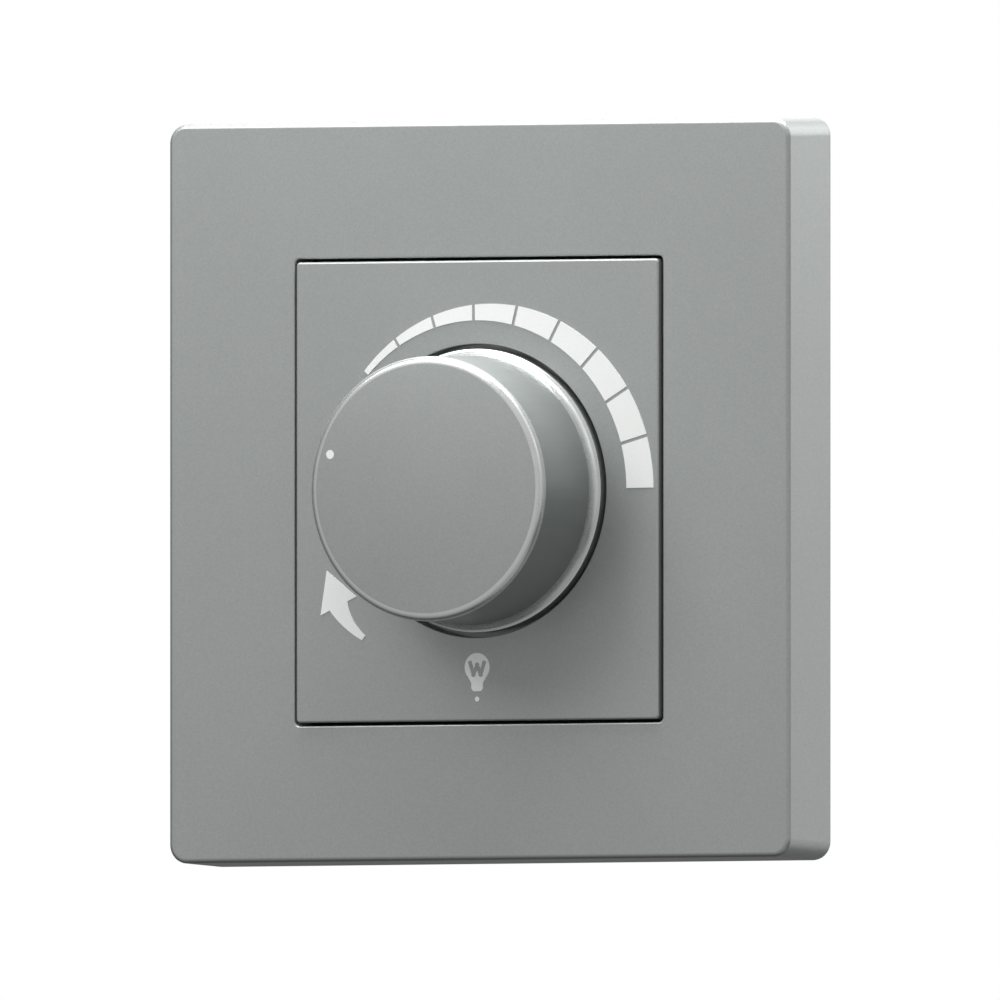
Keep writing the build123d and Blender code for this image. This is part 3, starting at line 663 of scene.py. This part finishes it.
def makeFacePanel():
    low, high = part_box("face_panel")
    skirt = facePanel["skirtBack"]
    plateBack = low.y + facePanel["thick"]
    wellFloor = low.y + facePanel["wellDepth"]
    cupBack = wellFloor + facePanel["wellFloor"]
    piece = addBox("facePanel", low, (high.x, skirt, high.z))
    roundCorners(piece, facePanel["corner"], facePanel["cornerSteps"])
    roundRim(piece, low.y, facePanel["edge"], facePanel["edgeSteps"])
    reach = (high.x - facePanel["wall"], high.z - facePanel["wall"])
    hollow = addBox("hollow", (-reach[0], plateBack, -reach[1]), (reach[0], skirt + past, reach[1]))
    cup = facePanel["well"] + facePanel["wellWall"]
    cut(hollow, addRod("cup", cup, plateBack - past, cupBack, steps=facePanel["cupSteps"]))
    cut(piece, hollow)
    cut(piece, wellCutter(low.y, wellFloor))
    cut(piece, addRod("bushHole", facePanel["bushHole"], wellFloor - past, cupBack + past))
    wide, tall = facePanel["tab"]
    orbit = facePanel["tabOrbit"]
    tab = addBox(
        "tab",
        (-wide / 2, wellFloor - past, orbit - tall / 2),
        (wide / 2, cupBack + past, orbit + tall / 2),
    )
    cut(piece, tab)
    for side in (-1, 1):
        for end in (-1, 1):
            spot = (side * facePanel["bossSpot"][0], end * facePanel["bossSpot"][1])
            boss = addRod("boss", facePanel["boss"], plateBack - weld, high.y, spot, facePanel["bossSteps"])
            cut(piece, boss, "UNION")
            ends = (facePanel["pilotEnd"], high.y + past)
            cut(piece, addRod("pilot", facePanel["pilot"], *ends, spot, facePanel["pilotSteps"]))
    firmShade(piece)
    settle(piece, "case", "grey_paint", "face_panel")


def wellCutter(front, floor):
    # widens at the front, so that the edge it leaves is rounded
    radius, edge, steps = facePanel["well"], facePanel["wellEdge"], facePanel["wellEdgeSteps"]
    profile = [(0, floor), (radius, floor), (radius, front + edge)]
    for step in range(1, steps + 1):
        angle = step * math.pi / 2 / steps
        profile.append((radius + edge * (1 - math.cos(angle)), front + edge * (1 - math.sin(angle))))
    profile += [(radius + edge, front - past), (0, front - past)]
    return spinProfile("well", profile, facePanel["wellSteps"])


makeFacePanel()


# Knob

knobShape = {
    "faceRadius": 16.15 * mm,
    "sideRadius": 16.4 * mm,              # at the foot of the tapered side
    "flange": 17.25 * mm,
    "chamfer": 0.95 * mm,                 # reach of the rounded front edge
    "crown": 0.5 * mm,                    # rise of the face from its rim
    "crownSteps": 10,
    "bevelTop": -12.7 * mm,
    "bevelFoot": -11.35 * mm,
    "bevelBulge": -0.75,                  # 0 is a flat bevel, 1 a full round, below 0 a cove
    "roundSteps": 6,
    "edge": 0.2 * mm,
    "edgeSteps": 4,
    "inner": 14.4 * mm,
    "ceiling": -22.55 * mm,
    "hub": 5.4 * mm,
    "hubEnd": -13.5 * mm,
    "bore": 3.06 * mm,
    "boreFlat": 1.56 * mm,
    "hubSlot": (0.8 * mm, 4.5 * mm),
    "ribs": 6,
    "rib": 1.2 * mm,
    "ribEnd": -15.7 * mm,
    "dot": 0.55 * mm,
    "dotSteps": 40,
    "dotOrbit": 13.9 * mm,
    "dotDepth": 0.7 * mm,
    "pointer": 162.0,                     # degrees from +X
    "steps": 180,
    "finishRoom": 0.15 * mm,              # the painted highlight finish starts and ends so far past its edges
    "side": (0.29, 0.31, 0.305),          # painted shade: darker than the face, standing in for the shade on the side, with turning marks
    "sideMetallic": 0.5,
    "sideRoughness": (0.38, 0.46),
    "sideGrooves": 0.3,
    "streak": 0.5 * mm,
    "streakDraw": (1, 0.03, 1),
    "streakDetail": 3.0,
    "streaks": (0.92, 1.08),
    "bright": (0.68, 0.7, 0.695),         # rounded edge and bevel, lighter than the paint as painted highlight
    "brightMetallic": 0.7,
    "brightRoughness": (0.24, 0.32),
    "brightMark": 1.5 * mm,
    "brightMarks": (0.96, 1.04),
}


def shadedTurnedSide():
    finish, shader = newFinish("knobSidePaintedShade", Metallic=knobShape["sideMetallic"])
    shader.inputs["Anisotropic"].default_value = knobShape["sideGrooves"]
    around = addNode(finish, "Tangent")
    around.direction_type = "RADIAL"
    around.axis = "Y"
    link(finish, around.outputs["Tangent"], shader.inputs["Tangent"])
    draw = knobShape["streakDraw"]
    streaks = noiseOf(finish, knobShape["streak"], knobShape["streakDetail"], stretch=draw)
    # the side's darker colour is painted shade, streaked with turning marks
    tint(finish, shader, knobShape["side"], spread(finish, streaks, *knobShape["streaks"]))
    gloss(finish, shader, streaks, *knobShape["sideRoughness"])
    return finish


def highlightPaintedEdge():
    finish, shader = newFinish("knobEdgePaintedHighlight", Metallic=knobShape["brightMetallic"])
    marks = noiseOf(finish, knobShape["brightMark"])
    # the edge's light colour is painted highlight on a glossier finish
    tint(finish, shader, knobShape["bright"], spread(finish, marks, *knobShape["brightMarks"]))
    gloss(finish, shader, marks, *knobShape["brightRoughness"])
    return finish


def makeKnob():
    low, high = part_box("knob")
    piece = spinProfile("knobCap", knobProfile(low.y, high.y), knobShape["steps"])
    roundFoot(piece, high.y)
    for step in range(knobShape["ribs"]):
        rib = addBox(
            "rib",
            (knobShape["hub"] - weld, knobShape["ceiling"] - weld, -knobShape["rib"] / 2),
            (knobShape["inner"] + weld, knobShape["ribEnd"], knobShape["rib"] / 2),
        )
        turnAboutY(rib, knobShape["pointer"] + (step + 0.5) * 360 / knobShape["ribs"])
        cut(piece, rib, "UNION")
    reach = knobShape["bore"] + weld
    key = addBox(
        "key",
        (-reach, knobShape["ceiling"] - weld, -reach),
        (reach, knobShape["hubEnd"], -knobShape["boreFlat"]),
    )
    turnAboutY(key, knobShape["pointer"])
    cut(piece, key, "UNION")
    wide, deep = knobShape["hubSlot"]
    slit = addBox(
        "slit",
        (-knobShape["hub"] - past, knobShape["hubEnd"] - deep, -wide / 2),
        (knobShape["hub"] + past, knobShape["hubEnd"] + past, wide / 2),
    )
    turnAboutY(slit, knobShape["pointer"])
    cut(piece, slit)
    ends = (low.y - past, low.y + knobShape["dotDepth"])
    at = (knobShape["dotOrbit"], 0)
    pocket = addRod("pocket", knobShape["dot"], *ends, at, knobShape["dotSteps"])
    turnAboutY(pocket, knobShape["pointer"])
    cut(piece, pocket)
    dressKnob(piece, low.y)
    firmShade(piece)
    settle(piece, "knob_set", "grey_paint", "knob")


def knobProfile(face, foot):
    across, flange = knobShape["faceRadius"], knobShape["flange"]
    flat = across - knobShape["chamfer"]
    rim = face + knobShape["crown"]
    bevelTop = (knobShape["sideRadius"], knobShape["bevelTop"])
    bevelFoot = (flange, knobShape["bevelFoot"])
    inner, ceiling = knobShape["inner"], knobShape["ceiling"]
    hub, hubEnd, bore = knobShape["hub"], knobShape["hubEnd"], knobShape["bore"]
    profile = domedFace(flat, face)
    profile += roundedCorner((flat, rim), (across, rim + knobShape["chamfer"]), 1)[1:]
    profile += roundedCorner(bevelTop, bevelFoot, knobShape["bevelBulge"])
    profile += [(flange, foot), (inner, foot), (inner, ceiling)]
    profile += [(hub, ceiling), (hub, hubEnd), (bore, hubEnd), (bore, ceiling), (0, ceiling)]
    return profile


def domedFace(across, face):
    rise, steps = knobShape["crown"], knobShape["crownSteps"]
    bow = (across**2 + rise**2) / 2 / rise
    radii = [across * step / steps for step in range(steps + 1)]
    return [(radius, face + bow - math.sqrt(bow**2 - radius**2)) for radius in radii]


def roundedCorner(start, end, bulge):
    # bows out towards the corner that has the radius of the end and the level of the start
    outer = (end[0], start[1])
    corner = [(start[i] + end[i]) * (1 - bulge) / 2 + bulge * outer[i] for i in range(2)]
    points = []
    for step in range(knobShape["roundSteps"] + 1):
        share = step / knobShape["roundSteps"]
        pulls = [((1 - share) ** 2, start), (2 * share * (1 - share), corner), (share**2, end)]
        points.append(tuple(sum(weight * spot[i] for weight, spot in pulls) for i in range(2)))
    return points


def roundFoot(piece, level):
    # the flange's outer edge, down in the well
    def onFoot(point):
        return near(math.hypot(point.x, point.z), knobShape["flange"]) and near(point.y, level)

    bevelEdges(
        piece,
        lambda first, second: onFoot(first) and onFoot(second),
        knobShape["edge"],
        knobShape["edgeSteps"],
    )


def dressKnob(piece, face):
    rim = face + knobShape["crown"]
    shoulder = rim + knobShape["chamfer"]
    bevelTop, bevelFoot = knobShape["bevelTop"], knobShape["bevelFoot"]
    room = knobShape["finishRoom"]
    insideRim = knobShape["faceRadius"] - knobShape["chamfer"] - room

    def outside(spot):
        return math.hypot(spot.x, spot.z) > insideRim

    def onSide(spot, normal):
        return outside(spot) and shoulder < spot.y < bevelTop

    def onEdge(spot, normal):
        onRound = rim - room < spot.y < shoulder
        onBevel = bevelTop < spot.y < bevelFoot + room
        return outside(spot) and (onRound or onBevel)

    coat(piece, finishes["grey_paint"])
    dressFaces(piece, shadedTurnedSide(), onSide)
    dressFaces(piece, highlightPaintedEdge(), onEdge)


makeKnob()


# Lamp sign printed under the knob

lampSign = {
    "middle": (0.03 * mm, -21.5 * mm),
    "bulb": 1.72 * mm,
    "bulbSteps": 72,
    "neck": (2.9 * mm, 1.6 * mm),         # width above and below
    "neckTop": -22.35 * mm,
    "neckFoot": -23.45 * mm,
    "capFoot": -24.45 * mm,
    "capRound": 0.48 * mm,
    "capSteps": 5,
    "thick": 0.06 * mm,
    "wire": 0.52 * mm,
    "zigzag": [(-0.95, 0.5), (-0.5, -0.9), (0.0, 0.25), (0.5, -0.9), (0.95, 0.5)],    # mm from the middle
    "dot": 0.3 * mm,
    "dotSteps": 24,
    "dotLevel": -25.4 * mm,
    "ink": (1.0, 1.0, 1.0),               # whiter than the scale's ink, as painted light that lifts the sign out of the knob's shadow
}


def makeLampSign():
    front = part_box("face_panel")[0].y
    face = front - lampSign["thick"]
    x, z = lampSign["middle"]
    piece = addRod("lampSign", lampSign["bulb"], face, front, (x, z), lampSign["bulbSteps"])
    cut(piece, lampNeck(x, face, front), "UNION")
    for first, second in zip(lampSign["zigzag"], lampSign["zigzag"][1:]):
        cut(piece, wireBar(first, second, face - past, front + past))
    dot = addRod("dot", lampSign["dot"], face, front, (x, lampSign["dotLevel"]), lampSign["dotSteps"])
    pickOnly(piece)
    dot.select_set(True)
    bpy.ops.object.join()
    # the sign's ink is painted lighter to make up for the knob's shadow on it
    coat(piece, whiteInk("signInkPaintedLight", lampSign["ink"]))
    firmShade(piece)
    settle(piece, "case", "white_ink")


def lampNeck(x, face, front):
    # narrows to the cap, which has a rounded foot
    top, foot = lampSign["neck"]
    neckFoot, capFoot = lampSign["neckFoot"], lampSign["capFoot"]
    neck = addBox("neck", (x - top / 2, face, neckFoot), (x + top / 2, front, lampSign["neckTop"]))
    openEdit(neck)
    pickFaces(neck, lambda spot, normal: normal.z < -facing)
    bpy.ops.transform.resize(value=(foot / top, 1, 1))
    extrude((0, 0, capFoot - neckFoot))
    closeEdit()

    def atCorner(first, second):
        return near(first.z, capFoot) and near(second.z, capFoot) and near(first.x, second.x)

    bevelEdges(neck, atCorner, lampSign["capRound"], lampSign["capSteps"])
    return neck


def wireBar(first, second, low, high):
    run = (second[0] - first[0], second[1] - first[1])
    long = math.hypot(*run) * mm + lampSign["wire"]
    bar = addBox("bar", (-long / 2, low, -lampSign["wire"] / 2), (long / 2, high, lampSign["wire"] / 2))
    turnAboutY(bar, math.degrees(math.atan2(run[1], run[0])))
    middle = lampSign["middle"]
    bar.location = (
        middle[0] + (first[0] + second[0]) / 2 * mm,
        0,
        middle[1] + (first[1] + second[1]) / 2 * mm,
    )
    fixPlace()
    return bar


makeLampSign()


# Floor, sky and lights

studio = {
    "floor": -0.16,
    "floorSize": 8.0,
    "floorColour": (0.82, 0.82, 0.81),
    "floorRoughness": 0.8,
    "floorDrift": 0.2,
    "floorDrifts": (0.98, 1.02),
    "floorGlow": 0.5,         # keeps the paper pale where the lamps don't reach
    "skyAll": 0.01,           # brightness all round, to which each part of the sky adds its own
    "sky": {                  # towards, where it starts and is full, brightness
        "front": ((0, -1, 0), 0.15, 1.0, 0.5),
        "back": ((0, 1, 0), 0.1, 1.0, 0.25),
        "card": ((0.66, 0.74, 0.1), 0.72, 0.92, 0.55),
        "upper": ((0.69, -0.27, 0.67), 0.88, 0.98, 0.8),
        "right": ((0.94, -0.32, 0.1), 0.82, 0.96, 0.5),
        "low": ((0.5, -0.22, -0.84), 0.88, 0.98, 0.36),
    },
    "lamps": {                # place, size and watts
        "key": ((-0.2, -0.31, 0.31), 0.25, 1.3),
        "top": ((0.01, 0.0, 0.34), 0.25, 3.3),
        "side": ((0.26, 0.26, 0.2), 0.3, 0.5),
        "rear": ((-0.3, 0.4, 0.22), 0.6, 0.5),
    },
}


def makeFloor():
    dropPick()
    bpy.ops.mesh.primitive_plane_add(size=studio["floorSize"], location=(0, 0, studio["floor"]))
    floor = bpy.context.object
    floor.name = "studioFloor"
    fixPlace()
    finish, shader = newFinish("studioPaper", Roughness=studio["floorRoughness"])
    shader.inputs["Emission Color"].default_value = (*studio["floorColour"], 1)
    shader.inputs["Emission Strength"].default_value = studio["floorGlow"]
    drift = noiseOf(finish, studio["floorDrift"])
    tint(finish, shader, studio["floorColour"], spread(finish, drift, *studio["floorDrifts"]))
    floor.data.materials.append(finish)
    floor.visible_diffuse = False         # it throws no light back on the part
    floor.visible_glossy = False


def makeSky():
    world = bpy.data.worlds.new("studioSky")
    world.use_nodes = True
    bpy.context.scene.world = world
    tree = world.node_tree
    tree.nodes.clear()
    place = tree.nodes.new("ShaderNodeTexCoord").outputs["Generated"]
    total = None
    for towards, start, full, light in studio["sky"].values():
        facingIt = tree.nodes.new("ShaderNodeVectorMath")
        facingIt.operation = "DOT_PRODUCT"
        facingIt.inputs[1].default_value = Vector(towards).normalized()
        tree.links.new(place, facingIt.inputs[0])
        glow = tree.nodes.new("ShaderNodeMapRange")
        glow.interpolation_type = "SMOOTHSTEP"
        glow.inputs["From Min"].default_value = start
        glow.inputs["From Max"].default_value = full
        glow.inputs["To Max"].default_value = light
        tree.links.new(facingIt.outputs["Value"], glow.inputs["Value"])
        both = tree.nodes.new("ShaderNodeMath")
        both.inputs[1].default_value = studio["skyAll"]
        tree.links.new(glow.outputs["Result"], both.inputs[0])
        if total:
            tree.links.new(total, both.inputs[1])
        total = both.outputs["Value"]
    lit = tree.nodes.new("ShaderNodeBackground")
    lit.inputs["Color"].default_value = (1, 1, 1, 1)
    seen = tree.nodes.new("ShaderNodeBackground")        # plain white behind the part
    seen.inputs["Color"].default_value = (1, 1, 1, 1)
    path = tree.nodes.new("ShaderNodeLightPath")
    pick = tree.nodes.new("ShaderNodeMixShader")
    output = tree.nodes.new("ShaderNodeOutputWorld")
    joins = [
        (total, lit.inputs["Strength"]),
        (path.outputs["Is Camera Ray"], pick.inputs[0]),
        (lit.outputs["Background"], pick.inputs[1]),
        (seen.outputs["Background"], pick.inputs[2]),
        (pick.outputs["Shader"], output.inputs["Surface"]),
    ]
    for source, target in joins:
        tree.links.new(source, target)


def makeLamps():
    for name, (spot, size, watts) in studio["lamps"].items():
        bpy.ops.object.light_add(type="AREA", location=spot)
        lamp = bpy.context.object
        lamp.name = name
        lamp.rotation_euler = (-Vector(spot)).to_track_quat("-Z", "Y").to_euler()
        lamp.data.size = size
        lamp.data.energy = watts
        lamp.visible_camera = False


makeFloor()
makeSky()
makeLamps()
bpy.context.scene.view_settings.view_transform = "Standard"
print("studio ready")
